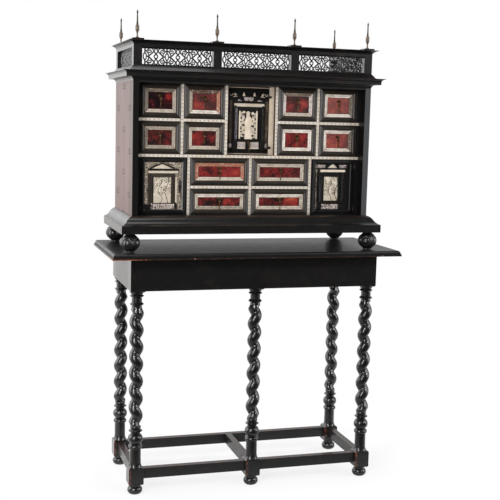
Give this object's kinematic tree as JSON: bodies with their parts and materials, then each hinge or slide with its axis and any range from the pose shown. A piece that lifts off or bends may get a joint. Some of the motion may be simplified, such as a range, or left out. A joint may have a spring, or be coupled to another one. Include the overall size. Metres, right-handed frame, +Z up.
{
  "type": "vargueno",
  "caption": "Ebonised cabinet with bone and tortoiseshell drawers, small doors and a pierced gallery, on a stand with twist-turned legs.",
  "frame": {"origin": "on the floor, under the middle of the stand's top", "axes": "+Z up, -Y is the front with the drawers, +X to the right of someone facing the front"},
  "size_m": [1.074, 0.44, 1.708],
  "materials": {
    "ebonised_wood": "satin",
    "stained_wood": "satin",
    "back_boards": "matte",
    "bone": "satin",
    "tortoiseshell": "polished",
    "patinated_bronze": "patinated",
    "gilt_brass": "worn",
    "iron": "matte"
  },
  "bodies": {
    "cabinet_on_stand": {"stand_top": "ebonised_wood", "leg_front_left": "ebonised_wood", "leg_front_middle": "ebonised_wood", "leg_front_right": "ebonised_wood", "leg_back_left": "ebonised_wood", "leg_back_right": "ebonised_wood", "stand_aprons": "ebonised_wood", "stand_stretchers": "ebonised_wood", "ball_feet": "ebonised_wood", "base_moulding": "ebonised_wood", "case_sides": "stained_wood", "case_boards": "ebonised_wood", "case_back": "back_boards", "nest_boards": "back_boards", "bone_edging": "bone", "cornice": "ebonised_wood", "gallery_frame": "ebonised_wood", "gallery_frets": "ebonised_wood", "finials": "patinated_bronze", "door_hinges": "iron"},
    "drawer_01": {"drawer_01_box": "ebonised_wood", "drawer_01_facing": "tortoiseshell"},
    "pull_01": {"drawer_01_drop": "gilt_brass"},
    "drawer_02": {"drawer_02_box": "ebonised_wood", "drawer_02_facing": "tortoiseshell"},
    "pull_02": {"drawer_02_drop": "gilt_brass"},
    "drawer_03": {"drawer_03_box": "ebonised_wood", "drawer_03_facing": "tortoiseshell"},
    "pull_03": {"drawer_03_drop": "gilt_brass"},
    "drawer_04": {"drawer_04_box": "ebonised_wood", "drawer_04_facing": "tortoiseshell"},
    "pull_04": {"drawer_04_drop": "gilt_brass"},
    "drawer_05": {"drawer_05_box": "ebonised_wood", "drawer_05_facing": "tortoiseshell"},
    "pull_05": {"drawer_05_drop": "gilt_brass"},
    "drawer_06": {"drawer_06_box": "ebonised_wood", "drawer_06_facing": "tortoiseshell"},
    "pull_06": {"drawer_06_drop": "gilt_brass"},
    "drawer_07": {"drawer_07_box": "ebonised_wood", "drawer_07_facing": "tortoiseshell"},
    "pull_07": {"drawer_07_drop": "gilt_brass"},
    "drawer_08": {"drawer_08_box": "ebonised_wood", "drawer_08_facing": "tortoiseshell"},
    "pull_08": {"drawer_08_drop": "gilt_brass"},
    "drawer_09": {"drawer_09_box": "ebonised_wood", "drawer_09_facing": "tortoiseshell"},
    "pull_09": {"drawer_09_drop": "gilt_brass"},
    "drawer_10": {"drawer_10_box": "ebonised_wood", "drawer_10_facing": "tortoiseshell"},
    "pull_10": {"drawer_10_drop": "gilt_brass"},
    "drawer_11": {"drawer_11_box": "ebonised_wood", "drawer_11_facing": "tortoiseshell"},
    "pull_11": {"drawer_11_drop": "gilt_brass"},
    "drawer_12": {"drawer_12_box": "ebonised_wood", "drawer_12_facing": "tortoiseshell"},
    "pull_12": {"drawer_12_drop": "gilt_brass"},
    "left_door": {"door_left": "bone"},
    "middle_door": {"door_centre": "bone"},
    "right_door": {"door_right": "bone"},
    "middle_pull": {"door_centre_drop": "gilt_brass"}
  },
  "joints": [
    {"name": "drawer_01_slide", "type": "slide", "parent": "cabinet_on_stand", "child": "drawer_01", "axis": [0, -1, 0], "range_m": [0, 0.22]},
    {"name": "pull_01_swing", "type": "hinge", "parent": "drawer_01", "child": "pull_01", "pos_m": [-0.35225, -0.097, 1.4203], "axis": [-1, 0, 0], "range_deg": [0, 85]},
    {"name": "drawer_02_slide", "type": "slide", "parent": "cabinet_on_stand", "child": "drawer_02", "axis": [0, -1, 0], "range_m": [0, 0.22]},
    {"name": "pull_02_swing", "type": "hinge", "parent": "drawer_02", "child": "pull_02", "pos_m": [-0.19275, -0.097, 1.4203], "axis": [-1, 0, 0], "range_deg": [0, 85]},
    {"name": "drawer_03_slide", "type": "slide", "parent": "cabinet_on_stand", "child": "drawer_03", "axis": [0, -1, 0], "range_m": [0, 0.22]},
    {"name": "pull_03_swing", "type": "hinge", "parent": "drawer_03", "child": "pull_03", "pos_m": [0.15675, -0.097, 1.4203], "axis": [-1, 0, 0], "range_deg": [0, 85]},
    {"name": "drawer_04_slide", "type": "slide", "parent": "cabinet_on_stand", "child": "drawer_04", "axis": [0, -1, 0], "range_m": [0, 0.22]},
    {"name": "pull_04_swing", "type": "hinge", "parent": "drawer_04", "child": "pull_04", "pos_m": [0.31625, -0.097, 1.4203], "axis": [-1, 0, 0], "range_deg": [0, 85]},
    {"name": "drawer_05_slide", "type": "slide", "parent": "cabinet_on_stand", "child": "drawer_05", "axis": [0, -1, 0], "range_m": [0, 0.22]},
    {"name": "pull_05_swing", "type": "hinge", "parent": "drawer_05", "child": "pull_05", "pos_m": [-0.35225, -0.097, 1.2908], "axis": [-1, 0, 0], "range_deg": [0, 85]},
    {"name": "drawer_06_slide", "type": "slide", "parent": "cabinet_on_stand", "child": "drawer_06", "axis": [0, -1, 0], "range_m": [0, 0.22]},
    {"name": "pull_06_swing", "type": "hinge", "parent": "drawer_06", "child": "pull_06", "pos_m": [-0.19275, -0.097, 1.2908], "axis": [-1, 0, 0], "range_deg": [0, 85]},
    {"name": "drawer_07_slide", "type": "slide", "parent": "cabinet_on_stand", "child": "drawer_07", "axis": [0, -1, 0], "range_m": [0, 0.22]},
    {"name": "pull_07_swing", "type": "hinge", "parent": "drawer_07", "child": "pull_07", "pos_m": [0.15675, -0.097, 1.2908], "axis": [-1, 0, 0], "range_deg": [0, 85]},
    {"name": "drawer_08_slide", "type": "slide", "parent": "cabinet_on_stand", "child": "drawer_08", "axis": [0, -1, 0], "range_m": [0, 0.22]},
    {"name": "pull_08_swing", "type": "hinge", "parent": "drawer_08", "child": "pull_08", "pos_m": [0.31625, -0.097, 1.2908], "axis": [-1, 0, 0], "range_deg": [0, 85]},
    {"name": "drawer_09_slide", "type": "slide", "parent": "cabinet_on_stand", "child": "drawer_09", "axis": [0, -1, 0], "range_m": [0, 0.22]},
    {"name": "pull_09_swing", "type": "hinge", "parent": "drawer_09", "child": "pull_09", "pos_m": [-0.1325, -0.097, 1.1694], "axis": [-1, 0, 0], "range_deg": [0, 85]},
    {"name": "drawer_10_slide", "type": "slide", "parent": "cabinet_on_stand", "child": "drawer_10", "axis": [0, -1, 0], "range_m": [0, 0.22]},
    {"name": "pull_10_swing", "type": "hinge", "parent": "drawer_10", "child": "pull_10", "pos_m": [0.0965, -0.097, 1.1694], "axis": [-1, 0, 0], "range_deg": [0, 85]},
    {"name": "drawer_11_slide", "type": "slide", "parent": "cabinet_on_stand", "child": "drawer_11", "axis": [0, -1, 0], "range_m": [0, 0.22]},
    {"name": "pull_11_swing", "type": "hinge", "parent": "drawer_11", "child": "pull_11", "pos_m": [-0.1325, -0.097, 1.0589], "axis": [-1, 0, 0], "range_deg": [0, 85]},
    {"name": "drawer_12_slide", "type": "slide", "parent": "cabinet_on_stand", "child": "drawer_12", "axis": [0, -1, 0], "range_m": [0, 0.22]},
    {"name": "pull_12_swing", "type": "hinge", "parent": "drawer_12", "child": "pull_12", "pos_m": [0.0965, -0.097, 1.0589], "axis": [-1, 0, 0], "range_deg": [0, 85]},
    {"name": "left_door_hinge", "type": "hinge", "parent": "cabinet_on_stand", "child": "left_door", "pos_m": [-0.4222, -0.093, 1.003], "axis": [0, 0, -1], "range_deg": [0, 90]},
    {"name": "right_door_hinge", "type": "hinge", "parent": "cabinet_on_stand", "child": "right_door", "pos_m": [0.3862, -0.093, 1.003], "axis": [0, 0, 1], "range_deg": [0, 90]},
    {"name": "middle_door_hinge", "type": "hinge", "parent": "cabinet_on_stand", "child": "middle_door", "pos_m": [0.0552, -0.057, 1.2175], "axis": [0, 0, 1], "range_deg": [0, 90]},
    {"name": "middle_pull_swing", "type": "hinge", "parent": "middle_door", "child": "middle_pull", "pos_m": [-0.018, -0.069, 1.2625], "axis": [1, 0, 0], "range_deg": [-85, 0]}
  ]
}
